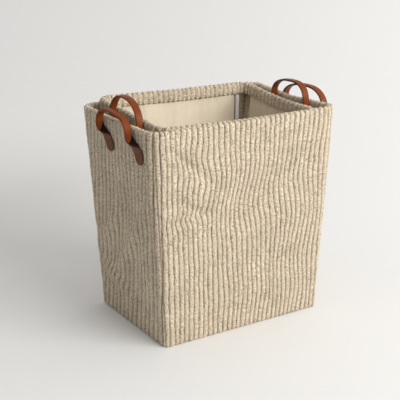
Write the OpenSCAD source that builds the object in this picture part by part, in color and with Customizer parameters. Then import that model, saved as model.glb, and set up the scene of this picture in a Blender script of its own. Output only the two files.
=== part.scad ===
// Two nested corduroy storage bins on wire frames, with leather loop handles.
// Millimetres. +Z is up, the origin is the centre of the outer bin's underside,
// the long walls face -Y (front) and +Y (back), and the end walls with the
// handles face -X (left) and +X (right).

/* [Outer bin] */
// Width of the outer bin at its rim, left to right
outer_top_w = 378; // [360:1:400]
// Depth of the outer bin at its rim, front to back
outer_top_d = 256; // [250:1:280]
// Width of the outer bin at its base
outer_base_w = 322; // [310:1:350]
// Depth of the outer bin at its base
outer_base_d = 230; // [224:1:250]
// Height of the outer bin
outer_height = 380; // [370:1:390]

/* [Inner bin] */
// Width of the inner bin at its rim
inner_top_w = 322; // [300:1:326]
// Depth of the inner bin at its rim
inner_top_d = 229; // [210:1:230]
// Width of the inner bin at its base
inner_base_w = 276; // [260:1:290]
// Depth of the inner bin at its base
inner_base_d = 204; // [190:1:208]
// Height of the inner bin at the middle of its rim
inner_height = 374.6; // [360:0.1:380]
// How far the inner bin stands to the right of the outer bin's centre
inner_shift = -2.7; // [-2.7:0.1:2.7]
// How far the inner rim tips up towards the back, in degrees
inner_pitch = 2.85; // [0:0.05:3]
// How far the inner rim tips down towards the right, in degrees
inner_roll = 1.45; // [0:0.05:2]

/* [Corners and layers] */
// Corner radius of the outer rim, seen from above
outer_top_r = 28; // [24:1:36]
// Corner radius of the inner rim, seen from above
inner_top_r = 26; // [22:1:34]
// Corner radius at both bases, seen from above
base_r = 9; // [8:1:14]
// Thickness of the corduroy
cord_t = 3; // [2:0.5:3]
// Space inside the rim fold, which holds the rim wire
fold_gap = 4.4; // [4.4:0.1:6]
// Depth of the corduroy turned in over the rim
cuff_depth = 21; // [16:1:30]
// Thickness of the lining cloth
lining_t = 1.2; // [0.8:0.1:1.3]
// Thickness of the base board
board_t = 4; // [3:0.5:4]

/* [Wire frame] */
// Diameter of the rim and base wires
wire_d = 4; // [3:0.5:4]
// Diameter of the white sleeve on each corner post
sleeve_d = 8; // [6:0.5:8]

/* [Handles] */
// Width of the strap where it is folded to make the grip
grip_w = 12; // [10:0.5:12]
// Thickness of the folded grip
grip_t = 3; // [2:0.5:4]
// Width of the flat tab at each end of the strap
tab_w = 25; // [20:1:28]
// Thickness of the flat tab
tab_t = 1.6; // [1.2:0.1:2]
// Length of the flat tab below its neck
tab_len = 36; // [30:1:44]
// Lean of the outer left tabs' tips towards the front, in degrees
left_lean = 28; // [0:1:30]
// Lean of the outer right tabs' tips towards the back, in degrees
right_lean = 28; // [0:1:30]
// Height of the tabs' upper ends
tab_top = 350; // [340:1:352]
// Height of the outer handles' crease
outer_bend = 352.5; // [352.5:0.1:353]
// Height of the inner handles' bend
inner_bend = 390; // [388:1:392]

/* [Hidden] */

cord_colour = [0.80, 0.73, 0.64];
lining_colour = [0.88, 0.83, 0.75];
board_colour = [0.62, 0.60, 0.56];
wire_colour = [0.93, 0.93, 0.91];
leather_colour = [0.58, 0.30, 0.17];
thread_colour = [0.76, 0.68, 0.57];
tab_thread_colour = [0.42, 0.24, 0.15];

eps = 0.01;
air = 0.2;              // air between two layers that lie on each other
knuckle_air = 0.3;      // air round a handle's bend
tab_air = 0.4;          // air between a flat tab and the wall it is sewn to
shave = 0.1;            // how far a hull stays inside the solid it joins
neck_t = 2;             // thickness of a strap's neck at its outer end
rim_round = 3;          // how far the fold's top edges are rounded off
facets = 32;            // facets of a full circle in the boards and linings
arc_steps = 4;          // steps of a wall's half corner
seam_turn = 44.7;       // turn of a wall's half corner, just short of the seam
round_fn = 48;          // facets of a full circle in rods and loops
outer_handle_out = 7.6; // distance of the outer grips' centre line from the rim's face
inner_handle_out = 6.35; // the same for the inner grips
rim_inset = cord_t + fold_gap;                    // outside face to the cuff's hidden face
board_z = cord_t + air;
floor_lining_z = board_z + board_t + air;
wall_lining_z = floor_lining_z + lining_t + air;
board_gap = 1;                                    // board's edge to the base wire
board_inset = cord_t + air + wire_d + board_gap;
wire_inset = cord_t + fold_gap / 2;
rim_wire_drop = cord_t + fold_gap / 2;            // rim wire's centre below the rim
post_inset = cord_t + air + sleeve_d / 2;
post_pin_r = 1.8;                                 // radius of a post's bare wire ends
pin_inset = wire_inset + 0.1;                     // a bare end's axis, a little inside the wires'
post_end_gap = 1;                                 // sleeve's end to the cuff or the floor lining
pin_lap = 2;                                      // how far a bare end reaches into its sleeve
stitch_drop = 4;                                  // cuff thread above the cuff's lower edge
stitch_r = 0.4;                                   // radius of the cuff thread
stitch_stand = 0.55;                              // its centre line out of the cuff's face
tab_stitch = [0.5, 0.8, 3.5];                     // height, width and length of a tab's stitch
tab_stitch_pitch = 5;
stitch_air = 0.05;                                // a stitch to the leather under it
tab_stitch_first = 8;                             // first stitch below the tab's upper end
tab_stitch_edge = 3;                              // row of stitches to the tab's long edge
lining_gap = 1;                                   // end of a wall's lining to the posts
cut_over = 1;                                     // how far a cut runs past what it cuts
bend_swell = 0.06;                                // extra radius of a wire at its bends
bend_lap = 0.8;                                   // how far two straight runs reach into them
stack_z = wall_lining_z + air;                    // where the inner bin stands

// A bin: [top w, top d, top r, base w, base d, height, floor z, centre x, pitch, roll]
OUTER = [outer_top_w, outer_top_d, outer_top_r, outer_base_w, outer_base_d,
         outer_height, 0, 0, 0, 0];
INNER = [inner_top_w, inner_top_d, inner_top_r, inner_base_w, inner_base_d,
         inner_height, stack_z, inner_shift, inner_pitch, inner_roll];

function height_of(bin) = bin[5];
function mix(a, b, t) = a + (b - a) * t;
function part_way(bin, z) = z / height_of(bin);
function half_w(bin, z) = mix(bin[3], bin[0], part_way(bin, z)) / 2;
function half_d(bin, z) = mix(bin[4], bin[1], part_way(bin, z)) / 2;
function corner_r(bin, z) = mix(base_r, bin[2], part_way(bin, z));

// A point of a level at height z above the bin's floor, tipped as that level is
function level_point(bin, x, y, z) =
    let (a = bin[8] * part_way(bin, z), b = bin[9] * part_way(bin, z))
    [bin[7] + x * cos(b) + y * sin(a) * sin(b),
     y * cos(a),
     bin[6] + z - x * sin(b) + y * sin(a) * cos(b)];

// Places children on a level of the bin, tipped as that level is
module on_level(bin, z) {
    t = part_way(bin, z);
    translate([bin[7], 0, bin[6] + z])
        rotate([bin[8] * t, bin[9] * t, 0])
            children();
}

// The four corner discs of a level, for a hull to join
module level(bin, z, inset) {
    r = corner_r(bin, z) - inset;
    on_level(bin, z)
        for (sx = [-1, 1], sy = [-1, 1])
            translate([sx * (half_w(bin, z) - inset - r), sy * (half_d(bin, z) - inset - r), 0])
                cylinder(h = eps, r = r, $fn = facets);
}

// A solid block between two levels
module block(bin, z_low, inset_low, z_high, inset_high) {
    hull() {
        level(bin, z_low, inset_low);
        level(bin, z_high, inset_high);
    }
}

// A wall's section: [distance in from the outside face, height above the bin's floor].
// It goes up the outside, over the rim and down the cuff, and back up inside the fold.
function wall_section(bin) =
    let (top = height_of(bin), cuff_low = top - cuff_depth, cuff_face = rim_inset + cord_t)
    [[0, 0], [0, top - rim_round], [rim_round, top], [cuff_face - rim_round, top],
     [cuff_face, top - rim_round], [cuff_face, cuff_low], [rim_inset, cuff_low],
     [rim_inset, top - cord_t], [cord_t, top - cord_t], [cord_t, 0]];

// A point of one wall. Station 0 is at one corner seam and the last at the other. Quarter
// 0 is the front wall, then the right, the back and the left.
function wall_point(bin, quarter, station, inset, z) =
    let (side = station <= arc_steps ? -1 : 1,
         step = side < 0 ? arc_steps - station : station - arc_steps - 1,
         turn = seam_turn * step / arc_steps,
         along = quarter % 2 == 0 ? half_w(bin, z) : half_d(bin, z),
         out = quarter % 2 == 0 ? half_d(bin, z) : half_w(bin, z),
         r = corner_r(bin, z),
         u = side * (along - r + (r - inset) * sin(turn)),
         v = -(out - r) - (r - inset) * cos(turn))
    quarter == 0 ? level_point(bin, u, v, z)
    : quarter == 1 ? level_point(bin, -v, u, z)
    : quarter == 2 ? level_point(bin, -u, -v, z)
    : level_point(bin, v, -u, z);

// One wall with its cuff, swept from corner seam to corner seam
module wall_panel(bin, quarter) {
    section = wall_section(bin);
    n = len(section);
    last = 2 * arc_steps + 1;
    cap = [[0, 1, 8], [0, 8, 9], [1, 2, 8], [2, 3, 7], [2, 7, 8], [3, 4, 7], [4, 5, 6], [4, 6, 7]];
    color(cord_colour)
        polyhedron(
            points = [for (k = [0:last], p = section) wall_point(bin, quarter, k, p[0], p[1])],
            faces = concat(
                [for (f = cap) [f[2], f[1], f[0]]],
                [for (f = cap) [for (i = f) i + n * last]],
                [for (k = [0:last - 1], j = [0:n - 1])
                    [n * k + j, n * k + (j + 1) % n, n * (k + 1) + j]],
                [for (k = [0:last - 1], j = [0:n - 1])
                    [n * (k + 1) + j, n * k + (j + 1) % n, n * (k + 1) + (j + 1) % n]]));
}

module bottom_panel(bin) {
    color(cord_colour) block(bin, 0, cord_t + air, cord_t, cord_t + air);
}

module base_board(bin) {
    color(board_colour) block(bin, board_z, board_inset, board_z + board_t, board_inset);
}

// A closed loop of round rod along a rounded rectangle. The bends are a little
// thicker than the straight runs, which reach a short way into them.
module rod_loop(w, d, r, rod_r) {
    for (sx = [-1, 1])
        translate([sx * w / 2, 0, 0])
            rotate([90, 0, 0])
                cylinder(h = d - 2 * r + bend_lap, r = rod_r, center = true, $fn = round_fn);
    for (sy = [-1, 1])
        translate([0, sy * d / 2, 0])
            rotate([0, 90, 0])
                cylinder(h = w - 2 * r + bend_lap, r = rod_r, center = true, $fn = round_fn);
    for (turn = [0:3]) {
        sx = turn == 0 || turn == 3 ? 1 : -1;
        sy = turn < 2 ? 1 : -1;
        translate([sx * (w / 2 - r), sy * (d / 2 - r), 0])
            rotate([0, 0, 90 * turn])
                rotate_extrude(angle = 90, $fn = round_fn)
                    translate([r, 0]) circle(r = rod_r + bend_swell, $fn = round_fn);
    }
}

// A rod loop that runs parallel to the walls at one level
module level_loop(bin, z, inset, rod_r) {
    on_level(bin, z)
        rod_loop(2 * (half_w(bin, z) - inset), 2 * (half_d(bin, z) - inset),
                 corner_r(bin, z) - inset, rod_r);
}

module rim_wire(bin) {
    color(wire_colour)
        level_loop(bin, height_of(bin) - rim_wire_drop, wire_inset, wire_d / 2);
}

module base_wire(bin) {
    color(wire_colour)
        level_loop(bin, board_z + wire_d / 2, wire_inset, wire_d / 2);
}

module cuff_thread(bin) {
    z = height_of(bin) - cuff_depth + stitch_drop;
    color(thread_colour) level_loop(bin, z, rim_inset + cord_t + stitch_stand, stitch_r);
}

// A round rod between two points
module rod(from, to, r) {
    d = to - from;
    translate(from)
        rotate([0, acos(d[2] / norm(d)), atan2(d[1], d[0])])
            cylinder(h = norm(d), r = r, $fn = round_fn);
}

// Where a post's axis is at height z, for the corner on the sides sx and sy
function post_point(bin, sx, sy, z, inset) =
    level_point(bin, sx * (half_w(bin, z) - corner_r(bin, z)), sy * (half_d(bin, z) - inset), z);

// A corner post: a wire in a white sleeve. The sleeve ends below the cuff, and
// the wire's ends run on to the rim wire and the base wire.
module post(bin, sx, sy) {
    sleeve_low = wall_lining_z + post_end_gap;
    sleeve_high = height_of(bin) - cuff_depth - post_end_gap;
    pin_high = height_of(bin) - rim_wire_drop - wire_d / 2 - air;
    pin_low = board_z + wire_d + air;
    color(wire_colour)
        union() {
            rod(post_point(bin, sx, sy, sleeve_low, post_inset),
                post_point(bin, sx, sy, sleeve_high, post_inset), sleeve_d / 2);
            rod(post_point(bin, sx, sy, sleeve_high - pin_lap, pin_inset),
                post_point(bin, sx, sy, pin_high, wire_inset), post_pin_r);
            rod(post_point(bin, sx, sy, pin_low, pin_inset),
                post_point(bin, sx, sy, sleeve_low + pin_lap, pin_inset), post_pin_r);
        }
}

// The lining of one wall is a flat cloth that stops at the posts
module wall_lining(bin, quarter) {
    top = height_of(bin) - cuff_depth / 2;
    inset = cord_t + air;
    ends = quarter % 2 == 0 ? sleeve_d / 2 + lining_gap : 0;
    low_half = quarter % 2 == 0
        ? half_w(bin, 0) - corner_r(bin, 0) - ends
        : half_d(bin, 0) - corner_r(bin, 0) - ends;
    top_half = quarter % 2 == 0
        ? half_w(bin, top) - corner_r(bin, top) - ends
        : half_d(bin, top) - corner_r(bin, top) - ends;
    reach = bin[0];
    color(lining_colour)
        intersection() {
            difference() {
                block(bin, wall_lining_z, inset, top, inset);
                block(bin, wall_lining_z - cut_over, inset + lining_t, top + cut_over, inset + lining_t);
            }
            translate([bin[7], 0, bin[6]])
                rotate([0, 0, 90 * quarter])
                    rotate([90, 0, 0])
                        linear_extrude(reach)
                            polygon([[-low_half, 0], [low_half, 0],
                                     [top_half, reach + top], [-top_half, reach + top]]);
        }
}

module floor_lining(bin) {
    inset = wire_inset + post_pin_r + knuckle_air;
    color(lining_colour)
        block(bin, floor_lining_z, inset, floor_lining_z + lining_t, inset);
}

// A handle: [bin, side, centre y, span, top z, [front radius, back radius], bend z, gap to
// the wall, turn of its tabs, which takes the tips to the back]
OUTER_LEFT = [OUTER, -1, -16, 102, 396, [24, 32], outer_bend, outer_handle_out, -left_lean];
OUTER_RIGHT = [OUTER, 1, -19, 116, 397, [24, 42], outer_bend, outer_handle_out, right_lean];
INNER_LEFT = [INNER, -1, -10, 95, 416, [24, 25], inner_bend, inner_handle_out, 0];
INNER_RIGHT = [INNER, 1, -17, 95, 409, [17, 18.5], inner_bend, inner_handle_out, 0];

// Distance of a wall's outer face from the middle plane x = 0 at true height z
function face_x(h, z) = half_w(h[0], z - h[0][6]) + h[1] * h[0][7];
function grip_x(h) = face_x(h, h[0][6] + height_of(h[0])) + h[7];
// The inner straps have a fixed leg between the two bins, below a round knuckle
function has_leg(h) = h[6] > tab_top + grip_w;
function wall_slope(h) = atan((h[0][0] - h[0][3]) / 2 / height_of(h[0]));

// Children drawn for the right end wall go to the handle's own side
module on_side(h) {
    mirror([h[1] < 0 ? 1 : 0, 0, 0]) children();
}

// A gateway outline standing on y = 0. Its upper corners have their own radii, grown by grow.
module gate(w, rise, radii, grow) {
    intersection() {
        union() {
            for (side = [0, 1]) {
                r = radii[side] + grow;
                mirror([1 - side, 0]) {
                    square([w / 2, rise - r]);
                    square([w / 2 - r, rise]);
                    translate([w / 2 - r, rise - r]) circle(r = r, $fn = round_fn);
                }
            }
        }
        translate([-w / 2, 0]) square([w, rise]);
    }
}

// The part of a handle above its bend, which swings
module loop_handle(h) {
    rise = h[4] - h[6];
    color(leather_colour)
        on_side(h)
            translate([grip_x(h), h[2], h[6]]) {
                translate([-grip_w / 2, 0, 0])
                    rotate([90, 0, 90])
                        linear_extrude(grip_w)
                            difference() {
                                gate(h[3] + grip_t, rise + grip_t / 2, h[5], grip_t / 2);
                                translate([0, -eps])
                                    gate(h[3] - grip_t, rise - grip_t / 2 + eps, h[5], -grip_t / 2);
                            }
                if (has_leg(h))
                    for (s = [-1, 1])
                        translate([0, s * h[3] / 2, 0])
                            rotate([90, 0, 0])
                                cylinder(h = grip_t, r = grip_w / 2, center = true, $fn = round_fn);
            }
}

// Places children on the wall at a tab's upper end, with X out of the wall and Z up it
module at_wall(h, s) {
    translate([face_x(h, tab_top), h[2] + s * h[3] / 2, tab_top])
        rotate([0, wall_slope(h), 0])
            translate([tab_air, 0, 0])
                children();
}

// The same, turned as the tab is
module at_tab(h, s) {
    at_wall(h, s) rotate([h[8], 0, 0]) children();
}

// A flat tab with a rounded tip. It reaches above its upper end, where it is cut level.
module tab_plate() {
    straight = tab_len - tab_w / 2;
    rotate([90, 0, 90])
        linear_extrude(tab_t) {
            translate([-tab_w / 2, -straight]) square([tab_w, straight + tab_w / 2]);
            translate([0, -straight]) circle(d = tab_w, $fn = round_fn);
        }
}

// One end of the strap: the tab, the neck that stands out from the wall, and the inner
// straps' leg up to the knuckle
module strap_end(h, s) {
    leg_y = h[2] + s * h[3] / 2;
    difference() {
        union() {
            intersection() {
                at_tab(h, s) tab_plate();
                at_wall(h, s)
                    translate([-tab_t, -tab_len, -2 * tab_len])
                        cube([3 * tab_t, 2 * tab_len, 2 * tab_len + neck_t / 2]);
            }
            hull() {
                at_wall(h, s)
                    translate([shave, shave - tab_w / 2, -neck_t / 2])
                        cube([tab_t - 2 * shave, tab_w - 2 * shave, neck_t - shave]);
                translate([grip_x(h) - grip_w / 2 + shave, leg_y - grip_t / 2 + shave, tab_top])
                    cube([grip_w - 2 * shave, grip_t - 2 * shave, neck_t]);
            }
            if (has_leg(h))
                translate([grip_x(h) - grip_w / 2, leg_y - grip_t / 2, tab_top + shave])
                    cube([grip_w, grip_t, h[6] - tab_top - shave]);
        }
        if (has_leg(h))
            translate([grip_x(h), leg_y, h[6]])
                rotate([90, 0, 0])
                    cylinder(h = tab_w * 2, r = grip_w / 2 + knuckle_air, center = true, $fn = round_fn);
    }
}

module strap_ends(h) {
    color(leather_colour)
        on_side(h)
            for (s = [-1, 1]) strap_end(h, s);
}

// Two rows of stitches that sew each tab to the wall
module tab_threads(h) {
    row = tab_w / 2 - tab_stitch_edge;
    color(tab_thread_colour)
        on_side(h)
            for (s = [-1, 1], side = [-1, 1], k = [0:3])
                at_tab(h, s)
                    translate([tab_t + stitch_air, side * row - tab_stitch[1] / 2,
                               -k * tab_stitch_pitch - tab_stitch[2] - tab_stitch_first])
                        cube(tab_stitch);
}

module outer_front_panel() { wall_panel(OUTER, 0); }
module outer_right_panel() { wall_panel(OUTER, 1); }
module outer_back_panel() { wall_panel(OUTER, 2); }
module outer_left_panel() { wall_panel(OUTER, 3); }
module outer_bottom_panel() { bottom_panel(OUTER); }
module outer_base_board() { base_board(OUTER); }
module outer_rim_wire() { rim_wire(OUTER); }
module outer_base_wire() { base_wire(OUTER); }
module outer_post_front_left() { post(OUTER, -1, -1); }
module outer_post_front_right() { post(OUTER, 1, -1); }
module outer_post_back_left() { post(OUTER, -1, 1); }
module outer_post_back_right() { post(OUTER, 1, 1); }
module outer_front_lining() { wall_lining(OUTER, 0); }
module outer_right_lining() { wall_lining(OUTER, 1); }
module outer_back_lining() { wall_lining(OUTER, 2); }
module outer_left_lining() { wall_lining(OUTER, 3); }
module outer_floor_lining() { floor_lining(OUTER); }
module outer_cuff_thread() { cuff_thread(OUTER); }
module outer_left_handle() { loop_handle(OUTER_LEFT); }
module outer_right_handle() { loop_handle(OUTER_RIGHT); }
module outer_left_tabs() { strap_ends(OUTER_LEFT); }
module outer_right_tabs() { strap_ends(OUTER_RIGHT); }
module outer_left_tab_threads() { tab_threads(OUTER_LEFT); }
module outer_right_tab_threads() { tab_threads(OUTER_RIGHT); }

module inner_front_panel() { wall_panel(INNER, 0); }
module inner_right_panel() { wall_panel(INNER, 1); }
module inner_back_panel() { wall_panel(INNER, 2); }
module inner_left_panel() { wall_panel(INNER, 3); }
module inner_bottom_panel() { bottom_panel(INNER); }
module inner_base_board() { base_board(INNER); }
module inner_rim_wire() { rim_wire(INNER); }
module inner_base_wire() { base_wire(INNER); }
module inner_post_front_left() { post(INNER, -1, -1); }
module inner_post_front_right() { post(INNER, 1, -1); }
module inner_post_back_left() { post(INNER, -1, 1); }
module inner_post_back_right() { post(INNER, 1, 1); }
module inner_front_lining() { wall_lining(INNER, 0); }
module inner_right_lining() { wall_lining(INNER, 1); }
module inner_back_lining() { wall_lining(INNER, 2); }
module inner_left_lining() { wall_lining(INNER, 3); }
module inner_floor_lining() { floor_lining(INNER); }
module inner_cuff_thread() { cuff_thread(INNER); }
module inner_left_handle() { loop_handle(INNER_LEFT); }
module inner_right_handle() { loop_handle(INNER_RIGHT); }
module inner_left_tabs() { strap_ends(INNER_LEFT); }
module inner_right_tabs() { strap_ends(INNER_RIGHT); }
module inner_left_tab_threads() { tab_threads(INNER_LEFT); }
module inner_right_tab_threads() { tab_threads(INNER_RIGHT); }

outer_front_panel();
outer_back_panel();
outer_left_panel();
outer_right_panel();
outer_bottom_panel();
outer_base_board();
outer_rim_wire();
outer_base_wire();
outer_post_front_left();
outer_post_front_right();
outer_post_back_left();
outer_post_back_right();
outer_front_lining();
outer_back_lining();
outer_left_lining();
outer_right_lining();
outer_floor_lining();
outer_cuff_thread();
outer_left_handle();
outer_right_handle();
outer_left_tabs();
outer_right_tabs();
outer_left_tab_threads();
outer_right_tab_threads();
inner_front_panel();
inner_back_panel();
inner_left_panel();
inner_right_panel();
inner_bottom_panel();
inner_base_board();
inner_rim_wire();
inner_base_wire();
inner_post_front_left();
inner_post_front_right();
inner_post_back_left();
inner_post_back_right();
inner_front_lining();
inner_back_lining();
inner_left_lining();
inner_right_lining();
inner_floor_lining();
inner_cuff_thread();
inner_left_handle();
inner_right_handle();
inner_left_tabs();
inner_right_tabs();
inner_left_tab_threads();
inner_right_tab_threads();
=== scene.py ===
# Two nested corduroy storage bins with leather loop handles.
import math

import bpy
import numpy as np
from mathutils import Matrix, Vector


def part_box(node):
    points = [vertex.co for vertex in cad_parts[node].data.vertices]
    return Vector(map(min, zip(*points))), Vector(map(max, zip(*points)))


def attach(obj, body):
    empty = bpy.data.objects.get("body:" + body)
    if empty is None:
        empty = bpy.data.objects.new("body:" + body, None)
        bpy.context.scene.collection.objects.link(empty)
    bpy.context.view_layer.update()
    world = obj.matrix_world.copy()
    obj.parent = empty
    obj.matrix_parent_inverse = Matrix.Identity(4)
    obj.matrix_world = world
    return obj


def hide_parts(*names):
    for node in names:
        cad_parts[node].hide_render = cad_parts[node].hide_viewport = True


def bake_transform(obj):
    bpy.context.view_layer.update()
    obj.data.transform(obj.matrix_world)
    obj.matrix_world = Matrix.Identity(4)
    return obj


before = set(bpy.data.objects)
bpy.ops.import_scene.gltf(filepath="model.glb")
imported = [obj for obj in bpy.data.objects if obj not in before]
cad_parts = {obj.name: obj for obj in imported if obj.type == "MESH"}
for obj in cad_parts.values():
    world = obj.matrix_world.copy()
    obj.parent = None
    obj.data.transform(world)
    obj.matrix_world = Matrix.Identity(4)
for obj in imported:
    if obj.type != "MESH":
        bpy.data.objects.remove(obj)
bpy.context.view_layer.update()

MM = 0.001

# ---------------------------------------------------------------- named sizes
# corduroy
RIB_PITCH = 10.2 * MM      # distance between two ribs on the front and the back
SIDE_PITCH = 12.0 * MM     # and on the two sides
RIB_HIGH = 1.1 * MM        # crest above the CAD face
RIB_DEEP = 2.6 * MM        # groove below it
SIDE_DEEPER = 1.3          # the side walls' grooves are this much deeper
RIM_ZONE = 12 * MM         # but not this close to the rim
RIB_STEPS = 9              # mesh columns to a rib
NUB = 2.6 * MM             # size of the tufts of the pile
TUFT = 0.60 * MM           # height of the tufts
CORD = 3.0 * MM            # thickness of the corduroy
SEAM_HALF = 1.3 * MM       # half the width of a corner seam's groove
SEAM_DEEP = 0.6 * MM       # depth of that groove
SEAM_GAP = 0.2 * MM        # from the bottom panel's edge to the walls' inner face
HEM = 8 * MM               # cloth turned in under the base
RIB_FLANK = 3.3            # the higher, the steeper a rib's flanks and the flatter its top
RIB_CREST = 0.55           # the lower, the wider its crest and the narrower its groove
SIDE_SLANT = 0.12          # how much the left wall's ribs lean, as a slope
SIDE_SLANT_FADE = 0.07     # less at a side's right-hand seam, seen from outside, and more at the left
RIGHT_SLANT = 0.35         # the right wall's lean, as a share of the left's
SEAM_SHADE = 0.5            # painted shade of the corner seams, 0 as a groove and 1 as a crest

# rim, cuff and lining
RIM_R = 5.2 * MM           # half the thickness of the rolled rim
RIM_STEPS = 11             # mesh rows over the rim
RIM_WIRE_R = 1.9 * MM      # radius of the wire in its coating
CUFF = 18.5 * MM           # depth of the cuff
CUFF_STEPS = 16            # mesh rows down the cuff
STITCH_UP = 1.8 * MM       # stitch line above the cuff's lower edge
STITCH_HALF = 1.1 * MM     # half the height of the groove that the stitches pull in
STITCH_LEN = 3.6 * MM      # length of a stitch
STITCH_STEP = 5.6 * MM     # from the start of one stitch to the next
STITCH_PULL = 1.3 * MM     # how deep the stitches pull the ribs in
STITCH_R = 0.45 * MM       # radius of the cuff's thread
CUFF_FLAT = 0.75           # height of the cuff's ribs, as a share of the wall's
CUFF_GROOVE_SHADE = 0.45           # painted shade of the cuff's grooves, 0 as dark as the walls' and 1 as a crest
LINING_IN = 3.4 * MM       # lining's outer face in from the wall's outer face
LINING_WAVE = 1.2 * MM     # how far it hangs in from there, and as much again where it is loose
LINING_LOW = 9.2 * MM      # height of its lower edge
LINING_T = 0.5 * MM        # thickness of the lining
FLOOR_T = 0.6 * MM         # thickness of the floor lining

# straps
STRAP_HALF = 12.4 * MM     # half the strap's width, and the folded grip's width
STRAP_T = 1.5 * MM         # leather thickness
STRAP_FOLD = 3.2 * MM      # length of strap that bends at the fold
STRAP_GAP = 1.75 * MM      # between the middles of the grip's two layers
STRAP_PUFF = 0.4 * MM      # how far the layers bulge between the fold and the edge
TAB_LEN = 17 * MM          # length of the flat tab
TAB_LEAN = math.radians(14)      # how far its tip leans to the front
POCKET_SHADE_Z = 348 * MM        # height where the painted shade of the fold's pocket starts on the flesh side
POCKET_SHADE_FADE = 6 * MM       # height over which that painted shade darkens
LEG_STEPS, ARCH_STEPS, TAB_STEPS = 18, 34, 16      # stations along a strap
TAB_STITCH_R = 0.28 * MM   # radius of the tabs' thread
TAB_STITCH_OUT = 0.2 * MM  # how far the stitches stand off the flesh side
TAB_STITCH_FROM = 6        # first stitch, in stations from the tab's tip
TAB_STITCH_EVERY = 3       # from the start of one stitch to the next, in stations
TAB_STITCH_SPAN = 2        # length of a stitch, in stations
TAB_STITCH_LANE = 4        # lanes in from the tab's edge

# Corner radius at the rim and the base, mesh rows up a wall, and how the bin leans.
BINS = {
    "outer": dict(top_r=28 * MM, base_r=9 * MM, pitch=0.0, roll=0.0, rows=168),
    "inner": dict(top_r=26 * MM, base_r=9 * MM, rows=120,
                  pitch=math.radians(2.85), roll=math.radians(1.45)),
}
WALLS = ("front", "right", "back", "left")

# Uneven cloth, from noise: how far it moves, and how far apart the noise's knots are along the
# wall (LONG) and up it (HIGH). Over a rise of DRIFT they move one knot along the wall.
RIM_WAVE, RIM_WAVE_LONG = 1.1 * MM, 0.055
SLACK, SLACK_LONG, SLACK_HIGH, SLACK_DRIFT = 0.7 * MM, 0.045, 0.05, 0.11
GATHER_LONG, GATHER_HIGH = 0.0125, 0.20
DRAPE, DRAPE_LONG, DRAPE_HIGH, DRAPE_DRIFT = 1.6 * MM, 0.05, 0.13, 0.16
RIB_WANDER, WANDER_LONG, WANDER_HIGH = 0.20, 0.035, 0.075      # the ribs' as shares of a pitch
RIB_WOBBLE, WOBBLE_LONG, WOBBLE_HIGH = 0.09, 0.010, 0.022

# How far the middle of each rim has slumped, in millimetres: down, and inwards.
SLUMP = {
    "outer": dict(front=(1.0, 1.0), right=(3.5, 5.0), back=(1.0, 1.0), left=(2.0, 1.0)),
    "inner": dict(front=(1.5, 1.0), right=(3.0, 2.0), back=(1.0, 1.0), left=(1.5, 1.0)),
}

# How far the middle of a wall hangs in, in millimetres.
HOLLOW = dict(front=1.0, right=2.5, back=1.5, left=4.0)

# Folds of the outer bin's cloth, in millimetres and degrees: place along the wall, height,
# half length, half width, tilt of its long side, sideways shift of the ribs, outward push.
FOLDS = {
    ("outer", "front"): [
        (20, 238, 115, 38, 22, -7, -2.8),
        (-70, 287, 75, 30, 8, 4, 1.6),
        (125, 200, 55, 38, 10, 5, 2.0),
        (120, 105, 55, 38, 10, -4, -1.6),
        (20, 65, 110, 42, -5, 5, 1.6),
        (-115, 340, 52, 16, -35, -6, 1.5),
        (-116, 318, 46, 7, -40, 0, -5.0),
        (-120, 272, 46, 16, -25, -5, 1.5),
        (-120, 250, 42, 7, -30, 0, -4.2),
        (-118, 226, 44, 10, 10, -5, -3.4)],
    ("outer", "left"): [
        (26, 172, 95, 13, 50, 0, 7.0),
        (-38, 185, 80, 13, 42, 0, 6.0),
        (-60, 80, 62, 12, -21, 0, 6.0),
        (0, 215, 70, 16, 52, 2, -4.5),
        (96, 190, 120, 12, 90, 0, -3.5),
        (80, 308, 28, 26, 0, 6, -1.0),
        (-50, 120, 80, 14, 38, 0, -1.8)],
}

# How a strap's end opens from the folded grip into the flat tab, with one row for each height
# in millimetres. shift: the edge's shift to the front, in millimetres. off: the edge's share of
# the way off the wall. turn: the back layer's turn, in degrees. fold: the place of the fold
# across the strap, 0 at its middle and 1 at its edge. opening: how far the front layer stands
# open, in degrees. tilt: the whole section's tilt, in degrees.
STRAP_COLUMNS = ("height", "shift", "off", "turn", "fold", "opening", "tilt")
STRAP_END = np.array([
    (340.0, 29.0, 0.00, 90, 1.60, 32, 13),
    (344.5, 28.0, 0.02, 82, 1.45, 34, -4),
    (348.5, 26.0, 0.10, 66, 1.10, 38, -15),
    (353.0, 21.0, 0.22, 53, 0.62, 42, -14),
    (358.0, 13.0, 0.40, 38, 0.28, 40, -9),
    (364.0, 5.5, 0.68, 20, 0.12, 30, -5),
    (370.0, 1.7, 0.88, 9, 0.05, 18, -2),
    (377.0, 0.3, 1.00, 4, 0.02, 7, 0),
    (385.0, 0.0, 1.00, 0, 0.00, 0, 0)])
LANES = np.linspace(-1, 1, 41)     # mesh points across a strap, from edge to edge

# Each strap: where its crown is between front and back, the height where its arch starts, how
# square the arch is, and the heights between which it turns with its loop, which this script does not
# use.
STRAPS = {
    ("outer", "left"): (-7 * MM, 364 * MM, 2.7, (0.350, 0.374)),
    ("outer", "right"): (30 * MM, 362 * MM, 2.4, (0.350, 0.374)),
    ("inner", "left"): (-8 * MM, 372 * MM, 2.3, (0.382, 0.400)),
    ("inner", "right"): (28 * MM, 374 * MM, 2.5, (0.382, 0.400)),
}

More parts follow.
